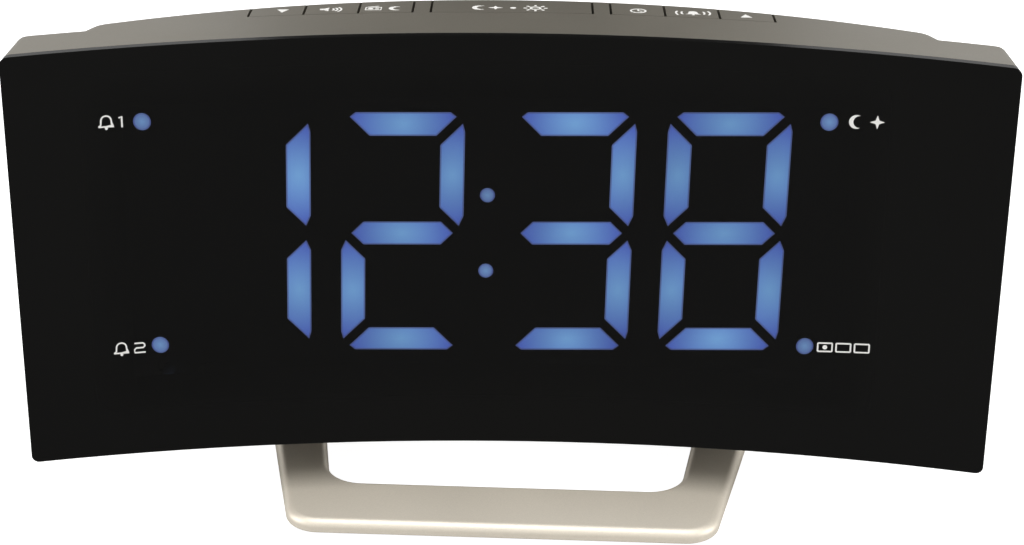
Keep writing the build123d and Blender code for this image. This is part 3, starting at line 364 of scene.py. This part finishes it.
key_marks = {
    "key_down": (-41.6, [triangle(0, 0, 1.05, 2.2, -1)]),
    "key_volume": (
        -32.9,
        [[(-2.0, -0.45), (-1.3, -0.45), (-0.4, -1.25), (-0.4, 1.25), (-1.3, 0.45), (-2.0, 0.45)]]
        + waves(-0.4, 0, (0.95, 1.6, 2.3), (0,), 0.34),
    ),
    "key_radio": (
        -23.3,
        [
            stroke([(-3.3, -1.2), (-3.3, 0.7), (-0.5, 0.7), (-0.5, -1.2), (-3.3, -1.2)], 0.3),
            disc(-2.45, -0.25, 0.5),
            stroke([(-1.6, 0.15), (-0.9, 0.15)], 0.3),
            stroke([(-1.6, -0.6), (-0.9, -0.6)], 0.3),
            stroke([(-2.9, 0.8), (-1.0, 1.6)], 0.28),
            moon(2.2, 0, 1.35),
        ],
    ),
    "key_snooze": (
        -0.7,
        [moon(-5.1, 0, 1.5), star(-2.3, 0.1, 1.3), disc(0.9, 0, 0.55)] + sun(5.0, 0, 2.2, 0.42),
    ),
    "key_set": (
        23.0,
        ring(0, 0, 1.35, 0.32) + [stroke([(0, 0), hand], 0.3) for hand in ((0, 0.95), (0.75, -0.3))],
    ),
    "key_alarm": (32.9, bell(0, 0.1, 2.7) + waves(0, 0.1, (2.1, 3.1), (0, 180), 0.34, 26)),
    "key_up": (42.4, [triangle(0, 0, 1.05, 2.2, 1)]),
}


def printed(name, shapes, place, material, body, thickness=INK):
    """Raised print: outlines in millimetres, extruded and laid on a surface by a placing rule."""
    shape = bmesh.new()
    for outline in shapes:
        face = shape.faces.new([shape.verts.new((x, z, 0)) for x, z in outline])
        top = bmesh.ops.extrude_face_region(shape, geom=[face], use_keep_orig=True)["geom"]
        for vert in (v for v in top if isinstance(v, bmesh.types.BMVert)):
            vert.co.z = thickness
    for vert in shape.verts:
        vert.co = leant(*place(*vert.co))
    shape.normal_update()
    bmesh.ops.recalc_face_normals(shape, faces=shape.faces)
    piece = made(name, shape, material)
    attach(piece, body)


def on_deck(middle):
    """Placing rule for a mark on the ridge, by its place along it."""

    def place(u, v, height):
        x = middle + u
        arch = math.sqrt(TOP_CURVE**2 - x**2) - TOP_CURVE
        return x, front_y(middle, MARK_DEPTH) + v, PANEL_HEIGHT + arch + height

    return place


white_ink = finish("white_ink", (0.76, 0.75, 0.72), 0.55, grain=6000, bump=2, mottle=0.05, patches=900)
for key, (middle, shapes) in key_marks.items():
    printed(f"{key}_mark", shapes, on_deck(middle), white_ink, key)

# Front panel: smoked acrylic, hollow towards the reader, glued in front of the housing. It hides
# all but the lit bars. Its back is printed black except for a window in front of the light wells,
# and the smoke is clear enough to see into only in that window.
WINDOW_X = (-67.6, 59.4)
WINDOW_Z = (15.0, 65.9)
WINDOW_BORDER = 4
WINDOW_BLUR = 6
WINDOW_ALPHA = 0.8
SMOKE_SHEEN = 0.04
MASK_GAP = 0.01
MASK_WALL = 0.03
MASK_TRIM = 0.02


def measured(tree, axis):
    """How far a point of the surface lies along an axis from the panel's foot."""
    place = tree.nodes.new("ShaderNodeTexCoord")
    offset = tree.nodes.new("ShaderNodeVectorMath")
    offset.operation = "SUBTRACT"
    offset.inputs[1].default_value = FOOT
    tree.links.new(place.outputs["Object"], offset.inputs[0])
    reach = tree.nodes.new("ShaderNodeVectorMath")
    reach.operation = "DOT_PRODUCT"
    reach.inputs[1].default_value = axis
    tree.links.new(offset.outputs["Vector"], reach.inputs[0])
    return reach.outputs["Value"]


def above(tree, value, edge, width):
    """Mask that goes from 0 to 1 as a value passes an edge."""
    step = tree.nodes.new("ShaderNodeMapRange")
    step.inputs["From Min"].default_value = edge - width / 2
    step.inputs["From Max"].default_value = edge + width / 2
    tree.links.new(value, step.inputs["Value"])
    return step.outputs["Result"]


def joined(tree, operation, first, second):
    """Two masks put together by one sum."""
    node = tree.nodes.new("ShaderNodeMath")
    node.operation = operation
    tree.links.new(first, node.inputs[0])
    tree.links.new(second, node.inputs[1])
    return node.outputs[0]


def cut(shape, place, normal, clear_outer=False):
    """Cuts a shape by a plane and, where asked, drops what lies beyond it."""
    bmesh.ops.bisect_plane(
        shape, geom=shape.verts[:] + shape.edges[:] + shape.faces[:], plane_co=place, plane_no=normal,
        clear_outer=clear_outer,
    )


upward = leaning @ Vector((0, 0, 1))
rear = leaning @ Vector((0, 1, 0))
smoke = finish("smoked_acrylic", (0.0058, 0.0057, 0.0054), 0.2, grain=90, bump=0.4, mottle=0.12, patches=14)
tree = smoke.node_tree
skin = tree.nodes["Principled BSDF"]
spans = []
for axis, limits in ((Vector((1, 0, 0)), WINDOW_X), (upward, WINDOW_Z)):
    value = measured(tree, axis)
    edges = (limits[0] - WINDOW_BORDER, limits[1] + WINDOW_BORDER)
    low_side, high_side = (above(tree, value, edge * MM, WINDOW_BLUR * MM) for edge in edges)
    spans.append(joined(tree, "SUBTRACT", low_side, high_side))
clear = tree.nodes.new("ShaderNodeMapRange")
clear.inputs["To Min"].default_value = 1.0
clear.inputs["To Max"].default_value = WINDOW_ALPHA
tree.links.new(joined(tree, "MULTIPLY", *spans), clear.inputs["Value"])
tree.links.new(clear.outputs["Result"], skin.inputs["Alpha"])
sheen = tree.nodes.new("ShaderNodeMath")
sheen.operation = "DIVIDE"
sheen.inputs[0].default_value = SMOKE_SHEEN
tree.links.new(clear.outputs["Result"], sheen.inputs[1])
tree.links.new(sheen.outputs[0], skin.inputs["Specular IOR Level"])
dress(smoke, "front_lens")
shape = bmesh.new()
shape.from_mesh(nodes["front_lens"].data)
bmesh.ops.remove_doubles(shape, verts=shape.verts, dist=1e-6)
bmesh.ops.delete(shape, geom=[f for f in shape.faces if f.normal.dot(rear) < 0.9], context="FACES")
for x in WINDOW_X:
    cut(shape, leant(x, 0, 0), (1, 0, 0))
for z in WINDOW_Z:
    cut(shape, leant(0, 0, z), upward)
inside = []
for face in shape.faces:
    middle = leaning.inverted() @ (face.calc_center_median() - FOOT) / MM
    if WINDOW_X[0] < middle.x < WINDOW_X[1] and WINDOW_Z[0] < middle.z < WINDOW_Z[1]:
        inside.append(face)
bmesh.ops.delete(shape, geom=inside, context="FACES")
for side, end in ((-1, cad_low[0]), (1, cad_high[0])):
    cut(shape, (end - side * MASK_TRIM * MM, 0, 0), (side, 0, 0), clear_outer=True)
bmesh.ops.translate(shape, verts=shape.verts, vec=rear * MASK_GAP * MM)
bmesh.ops.solidify(shape, geom=shape.faces[:], thickness=-MASK_WALL * MM)
bmesh.ops.recalc_face_normals(shape, faces=shape.faces)
black_ink = finish("black_ink", (0.004, 0.0038, 0.004), 0.6, grain=5000, bump=2, mottle=0.1, patches=200)
mask = made("panel_mask", shape, black_ink)
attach(mask, "clock")

# Display: black light wells filled with cast diffusers. The lit ones glow pale blue, brightest in
# the middle of each bar, with a thin cooler rim where the resin meets the well.
RIM = 0.26


def diffusers(name, source, core, edge):
    """Diffusers taken from the CAD bars, each front with a rim and its own UV, -1 to 1 both ways."""
    shape = bmesh.new()
    shape.from_mesh(nodes[source].data)
    bmesh.ops.remove_doubles(shape, verts=shape.verts, dist=1e-6)
    bmesh.ops.dissolve_limit(shape, angle_limit=math.radians(1), verts=shape.verts[:], edges=shape.edges[:])
    fronts = [f for f in shape.faces if f.normal.dot(rear) < -0.99]
    along = shape.loops.layers.uv.new("along")
    ways = (Vector((1, 0, 0)), upward)
    for face in fronts:
        middle = face.calc_center_bounds()
        spans = [max(abs((v.co - middle).dot(way)) for v in face.verts) for way in ways]
        long_way = 0 if spans[0] > spans[1] else 1
        for loop in face.loops:
            offset = loop.vert.co - middle
            shares = (offset.x / spans[0], offset.dot(upward) / spans[1])
            loop[along].uv = (shares[long_way], shares[1 - long_way])
    rims = bmesh.ops.inset_individual(
        shape, faces=fronts, thickness=RIM * MM, use_even_offset=True, use_interpolate=True,
    )
    for face in rims["faces"]:
        face.material_index = 1
    piece = made(name, shape, core, edge)
    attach(piece, "clock")
    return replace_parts(piece, source)


def glow(name, middle, end, strength, across=0.35):
    """Resin that glows most in the middle of a bar, where its lamp sits, and less and bluer away from it."""
    material = finish(name, (0.25, 0.26, 0.3), 0.4, grain=3000, bump=4, mottle=0.05, patches=500)
    tree = material.node_tree
    skin = tree.nodes["Principled BSDF"]
    skin.inputs["Specular IOR Level"].default_value = 0.2
    place = tree.nodes.new("ShaderNodeUVMap")
    place.uv_map = "along"
    narrow = tree.nodes.new("ShaderNodeVectorMath")
    narrow.operation = "MULTIPLY"
    narrow.inputs[1].default_value = (1, across, 0)
    tree.links.new(place.outputs["UV"], narrow.inputs[0])
    size = tree.nodes.new("ShaderNodeVectorMath")
    size.operation = "LENGTH"
    tree.links.new(narrow.outputs["Vector"], size.inputs[0])
    ramp = tree.nodes.new("ShaderNodeValToRGB")
    ramp.color_ramp.elements[0].position = 0.0
    ramp.color_ramp.elements[0].color = (*middle, 1)
    ramp.color_ramp.elements[1].position = 1.0
    ramp.color_ramp.elements[1].color = (*end, 1)
    tree.links.new(size.outputs["Value"], ramp.inputs["Fac"])
    tree.links.new(ramp.outputs["Color"], skin.inputs["Emission Color"])
    where = tree.nodes.new("ShaderNodeTexCoord")
    uneven = tree.nodes.new("ShaderNodeTexNoise")
    uneven.inputs["Scale"].default_value = 45
    tree.links.new(where.outputs["Object"], uneven.inputs["Vector"])
    level = tree.nodes.new("ShaderNodeMapRange")
    level.inputs["From Min"].default_value = 0.3
    level.inputs["From Max"].default_value = 0.7
    level.inputs["To Min"].default_value = strength * 0.86
    level.inputs["To Max"].default_value = strength * 1.14
    tree.links.new(uneven.outputs["Fac"], level.inputs["Value"])
    tree.links.new(level.outputs["Result"], skin.inputs["Emission Strength"])
    return material


bar_glow = glow("bar_glow", (0.156, 0.335, 0.62), (0.064, 0.102, 0.43), strength=22.5)
rim_glow = glow("rim_glow", (0.14, 0.22, 0.46), (0.085, 0.115, 0.33), strength=16)
dot_glow = glow("dot_glow", (0.16, 0.3, 0.56), (0.105, 0.16, 0.38), strength=20.5, across=1.0)
dark_resin = finish("dark_resin", (0.012, 0.012, 0.016), 0.5, grain=3000, bump=4, mottle=0.1, patches=500)
diffusers("lit_bars", "segments_lit", bar_glow, rim_glow)
diffusers("dark_bars", "segments_unlit", dark_resin, dark_resin)
diffusers("lit_dots", "indicator_dots", dot_glow, rim_glow)
well = finish("well_black", (0.007, 0.007, 0.008), 0.7, grain=1800, bump=10, mottle=0.1, patches=120)
dress(well, "display_reflector")

# Marks on the panel beside the four dots: white screen printing on the acrylic. They are plain
# signs: a bell with a 1, a bell with a 2, a moon with a star, and a row of stored stations.


def low_box(x, z, half, height, line):
    """Box in a line."""
    corners = [(x - half, z - height), (x + half, z - height), (x + half, z + height), (x - half, z + height)]
    return [stroke([start, end], line) for start, end in zip(corners, corners[1:] + corners[:1])]


def open_bell(x, z):
    """Bell in a thin line."""
    side = [(-1.3, -0.8), (-0.9, -0.45), (-0.85, 0.3)]
    dome = arc(0, 0.3, 0.85, 165, 15, 8)
    line = side + dome + [(-a, b) for a, b in reversed(side)] + [(-1.3, -0.8)]
    return [stroke([(x + a, z + b) for a, b in line], 0.27), disc(x, z - 1.1, 0.26)]


figure_one = [(1.35, 0.7), (1.85, 1.0), (1.85, -1.0)]
figure_two = [
    (0.95, 0.9), (2.4, 0.9), (2.7, 0.6), (2.7, 0.3), (2.4, 0),
    (1.25, 0), (0.95, -0.3), (0.95, -0.9), (2.8, -0.9),
]
panel_marks = {
    "mark_alarm_one": ((-68.9, 63.75), 0, open_bell(-0.75, 0.05) + [stroke(figure_one, 0.29)]),
    "mark_alarm_two": ((-67.9, 21.35), 0, open_bell(-1.3, 0.05) + [stroke(figure_two, 0.29)]),
    "mark_sleep": ((61.9, 64.75), 0.06, [moon(-1.9, 0, 1.25), star(1.6, 0, 1.25)]),
    "mark_stored": (
        (60.2, 22.35), 0.07,
        [disc(-3.2, 0, 0.42)] + [line for x in (-3.2, 0, 3.2) for line in low_box(x, 0, 1.25, 0.8, 0.28)],
    ),
}


def on_panel(middle_x, middle_z, slope):
    """Placing rule for a mark on the hollow front, by its place and the slope of its line."""

    def place(u, v, height):
        x = middle_x + u
        return x, front_y(x, 0) - height, middle_z + v + slope * u

    return place


for name, (middle, slope, shapes) in panel_marks.items():
    printed(name, shapes, on_panel(*middle, slope), white_ink, "clock")

# Boards: glass-fibre laminate with green solder mask over copper tracks. Chips are moulded epoxy,
# the lamps clear resin, the spacers white nylon.


def over(material, mask, colour):
    """Lays a second colour on a finish where a mask is 1."""
    tree = material.node_tree
    skin = tree.nodes["Principled BSDF"]
    mix = tree.nodes.new("ShaderNodeMix")
    mix.data_type = "RGBA"
    mix.inputs["B"].default_value = (*colour, 1)
    tree.links.new(skin.inputs["Base Color"].links[0].from_socket, mix.inputs["A"])
    tree.links.new(mask, mix.inputs["Factor"])
    tree.links.new(mix.outputs["Result"], skin.inputs["Base Color"])


def radius_from(tree, centre, axis):
    """Distance of a point of the surface from an axis."""
    place = tree.nodes.new("ShaderNodeTexCoord")
    offset = tree.nodes.new("ShaderNodeVectorMath")
    offset.operation = "SUBTRACT"
    offset.inputs[1].default_value = centre
    tree.links.new(place.outputs["Object"], offset.inputs[0])
    across = tree.nodes.new("ShaderNodeVectorMath")
    across.operation = "CROSS_PRODUCT"
    across.inputs[1].default_value = axis
    tree.links.new(offset.outputs["Vector"], across.inputs[0])
    length = tree.nodes.new("ShaderNodeVectorMath")
    length.operation = "LENGTH"
    tree.links.new(across.outputs["Vector"], length.inputs[0])
    return length.outputs["Value"]


laminate = finish("solder_mask", (0.012, 0.09, 0.045), 0.32, grain=2500, bump=4, mottle=0.1, patches=150)
tree = laminate.node_tree
place = tree.nodes.new("ShaderNodeTexCoord")
tracks = tree.nodes.new("ShaderNodeTexBrick")
tracks.inputs["Scale"].default_value = 110
tracks.inputs["Mortar Size"].default_value = 0.035
tree.links.new(place.outputs["Object"], tracks.inputs["Vector"])
over(laminate, tracks.outputs["Fac"], (0.03, 0.17, 0.075))
pads = tree.nodes.new("ShaderNodeTexVoronoi")
pads.inputs["Scale"].default_value = 330
tree.links.new(place.outputs["Object"], pads.inputs["Vector"])
spot = tree.nodes.new("ShaderNodeMath")
spot.operation = "LESS_THAN"
spot.inputs[1].default_value = 0.2
tree.links.new(pads.outputs["Distance"], spot.inputs[0])
over(laminate, spot.outputs[0], (0.55, 0.55, 0.5))
dress(laminate, "key_board", "display_board", "main_board", "projector_board")
epoxy = finish("chip_epoxy", (0.018, 0.018, 0.02), 0.6, grain=4000, bump=6, mottle=0.12, patches=300)
dress(epoxy, "main_board_parts", "key_switches", "projector_switch")
resin = finish("lamp_resin", (0.72, 0.72, 0.62), 0.25, grain=1500, bump=3, mottle=0.08, patches=400)
dress(resin, "display_lamps", "projector_lamp")
nylon = finish("spacer_nylon", (0.62, 0.6, 0.54), 0.45, grain=1200, bump=6, mottle=0.05, patches=120)
dress(nylon, "board_standoffs", "friction_washers")

# Back: black ABS with a fine spark-eroded texture on the cover, the door, the projector's cradle
# and the drum. The header, the tray and the key rail are plain black mouldings.
eroded = finish("eroded_black", (0.022, 0.022, 0.023), 0.52, grain=1500, bump=60, mottle=0.12, patches=60)
dress(
    eroded, "back_cover", "battery_door", "projector_cradle", "projector_shell_left", "projector_shell_right",
)
plain = finish("plain_black", (0.02, 0.02, 0.021), 0.42, grain=700, bump=10, mottle=0.1, patches=80)
dress(plain, "key_rail", "battery_tray", "board_header", "image_slide", "lens_holder")

# Small things on the back: white signs beside the button, the aerial and the inlet, a bare foil
# plate above the battery door, a moulded arrow on the door, and cloth behind the speaker's slots.
BACK = 46.0
BATTERY_X = -27.5
INLET_X = 8
INLET_Z = 16.4
SPEAKER_X = 34.5
SPEAKER_Z = 27.8
PLATE_WIDTH = 36.0
PLATE_HEIGHT = 5.6
PLATE_CORNER = 1.0
CLOTH_RADIUS = 13.3
CLOTH_DEPTH = 2.55


def on_back(middle_x, middle_z, depth=BACK):
    """Placing rule for a mark that is read from behind."""
    return lambda u, v, height: (middle_x - u, depth + height, middle_z + v)


back_marks = {
    "mark_beam": (
        (1.2, 37.5),
        [disc(-1.1, 0, 0.45)] + [stroke([(-0.4, v / 3), (1.5, v)], 0.26) for v in (-1.1, 0, 1.1)],
    ),
    "mark_aerial": (
        (1.2, 27.0),
        [stroke([(0, -1.3), (0, 1.2)], 0.28)] + [stroke([(u, 1.3), (0, 0.1)], 0.28) for u in (-1.1, 1.1)],
    ),
    "mark_inlet": (
        (0.6, INLET_Z),
        [disc(0, 0, 0.35)] + ring(0, 0, 1.0, 0.26) + [stroke([(1.15, 0), (2.0, 0)], 0.26)],
    ),
}
for name, (middle, shapes) in back_marks.items():
    printed(name, shapes, on_back(*middle), white_ink, "clock")

plate = []
for side_x, side_z, turn in ((1, 1, 0), (-1, 1, 90), (-1, -1, 180), (1, -1, 270)):
    corner_x = side_x * (PLATE_WIDTH / 2 - PLATE_CORNER)
    corner_z = side_z * (PLATE_HEIGHT / 2 - PLATE_CORNER)
    plate += arc(corner_x, corner_z, PLATE_CORNER, turn, turn + 90, 6)
foil = finish("bare_foil", (0.62, 0.62, 0.6), 0.36, metal=0.9, grain=1800, bump=4, mottle=0.05, patches=500)
printed("bare_plate", [plate], on_back(BATTERY_X, 40.6), foil, "clock", thickness=0.12)
arrow = [triangle(0, 1.2, 1.6, 1.8, 1), [(-0.5, -1.6), (0.5, -1.6), (0.5, 0.3), (-0.5, 0.3)]]
on_door = on_back(BATTERY_X, 18.6)
printed("door_arrow", arrow, on_door, eroded, "battery_door", thickness=0.35)
cloth = finish("speaker_cloth", (0.012, 0.012, 0.013), 0.95, grain=5200, bump=60, mottle=0.3, patches=1500)
in_speaker = on_back(SPEAKER_X, SPEAKER_Z, BACK - CLOTH_DEPTH)
grille = [disc(0, 0, CLOTH_RADIUS)]
printed("grille_cloth", grille, in_speaker, cloth, "clock", thickness=0.2)

# Stand: a flat ring of cast zinc with a satin nickel finish, on four rubber pads, with a
# moulded riser and a screw at either side.
nickel = finish(
    "satin_nickel", (0.71, 0.648, 0.545), 0.48, metal=0.42,
    grain=2400, bump=3, mottle=0.02, patches=30, flake=0.03,
)
dress(nickel, "stand_ring")
rubber = finish("pad_rubber", (0.02, 0.02, 0.021), 0.85, grain=2200, bump=20, mottle=0.12, patches=90)
dress(rubber, "stand_pads", "antenna_gland")
riser = finish("riser_plastic", (0.035, 0.034, 0.033), 0.5, grain=1500, bump=20, mottle=0.1, patches=70)
dress(riser, "stand_risers")

# Metal inside and on the back: zinc-plated screws with turned heads, a stamped speaker basket,
# a plated magnet, and nickel contact plates.
zinc = finish("zinc_plate", (0.6, 0.6, 0.61), 0.3, metal=1.0, grain=3500, bump=4, mottle=0.1, patches=350)
dress(
    zinc, "key_board_screws", "display_screws", "main_board_screws", "cover_screws", "speaker_screws",
    "cradle_screws", "stand_screws", "speaker_basket",
)
ferrite = finish(
    "magnet_plate", (0.34, 0.34, 0.35), 0.38, metal=0.9, grain=900, bump=10, mottle=0.15, patches=160,
)
dress(ferrite, "speaker_magnet")
sprung = finish(
    "contact_nickel", (0.68, 0.66, 0.6), 0.28, metal=1.0, grain=2800, bump=3, mottle=0.08, patches=260,
)
dress(sprung, "battery_contacts")

# Speaker cone: pressed black paper with ribs about its axis, a rolled surround and a dust cap.
# It is glued into the stamped basket by its rim.
RIB_PITCH = 1.4
cone = finish("cone_paper", (0.03, 0.029, 0.028), 0.8, grain=1100, bump=30, mottle=0.25, patches=420)
tree = cone.node_tree
away = radius_from(tree, leant(SPEAKER_X, BACK, SPEAKER_Z), rear)
ribs = tree.nodes.new("ShaderNodeMath")
ribs.operation = "SINE"
pace = tree.nodes.new("ShaderNodeMath")
pace.operation = "MULTIPLY"
pace.inputs[1].default_value = 2 * math.pi / (RIB_PITCH * MM)
tree.links.new(away, pace.inputs[0])
tree.links.new(pace.outputs[0], ribs.inputs[0])
over(cone, above(tree, ribs.outputs[0], 0.7, 0.6), (0.05, 0.048, 0.045))
dress(cone, "speaker_cone")

# Back-up cells: two steel cans in a printed sleeve, dark with a brass-coloured band at one end and
# the bare can at the other. They lie in the tray between their contacts.
CELL_HALF = 22.2
BAND_WIDTH = 14.0
BARE_WIDTH = 1.2
SLEEVE_BLUR = 0.2
sleeve = finish(
    "cell_sleeve", (0.42, 0.36, 0.12), 0.35, metal=0.4, grain=1800, bump=4, mottle=0.08, patches=140,
)
tree = sleeve.node_tree
place = tree.nodes.new("ShaderNodeTexCoord")
along = tree.nodes.new("ShaderNodeSeparateXYZ")
tree.links.new(place.outputs["Object"], along.inputs["Vector"])
for start, colour in (
    (BATTERY_X - CELL_HALF + BAND_WIDTH, (0.03, 0.03, 0.034)),
    (BATTERY_X + CELL_HALF - BARE_WIDTH, (0.6, 0.6, 0.58)),
):
    over(sleeve, above(tree, along.outputs["X"], start * MM, SLEEVE_BLUR * MM), colour)
dress(sleeve, "battery_cells")

# Power inlet and grips: the inlet is black nylon with a bright pin. The projector's button, its tube
# and the ring that focuses it are satin plastic.
PIN_RADIUS = 1.1
PIN_BLUR = 0.1
inlet = finish("inlet_nylon", (0.016, 0.016, 0.017), 0.45, grain=1600, bump=10, mottle=0.08, patches=200)
tree = inlet.node_tree
away = radius_from(tree, leant(INLET_X, BACK, INLET_Z), rear)
around = above(tree, away, PIN_RADIUS * MM, PIN_BLUR * MM)
pin = tree.nodes.new("ShaderNodeMath")
pin.operation = "SUBTRACT"
pin.inputs[0].default_value = 1
tree.links.new(around, pin.inputs[1])
over(inlet, pin.outputs[0], (0.7, 0.68, 0.6))
tree.links.new(pin.outputs[0], tree.nodes["Principled BSDF"].inputs["Metallic"])
dress(inlet, "dc_jack")
grip = finish("grip_satin", (0.035, 0.035, 0.037), 0.38, grain=1900, bump=8, mottle=0.1, patches=110)
dress(grip, "projector_key", "lens_tube", "focus_ring")

# Projector glass: two clear acrylic lenses, a condenser fixed before the lamp and the projection
# lens in its sliding holder.
glass = finish("clear_acrylic", (0.93, 0.95, 0.96), 0.03, grain=400, bump=0.4, mottle=0.02, patches=100)
skin = glass.node_tree.nodes["Principled BSDF"]
skin.inputs["Transmission Weight"].default_value = 1
skin.inputs["IOR"].default_value = 1.49
dress(glass, "condenser_lens", "projection_lens")
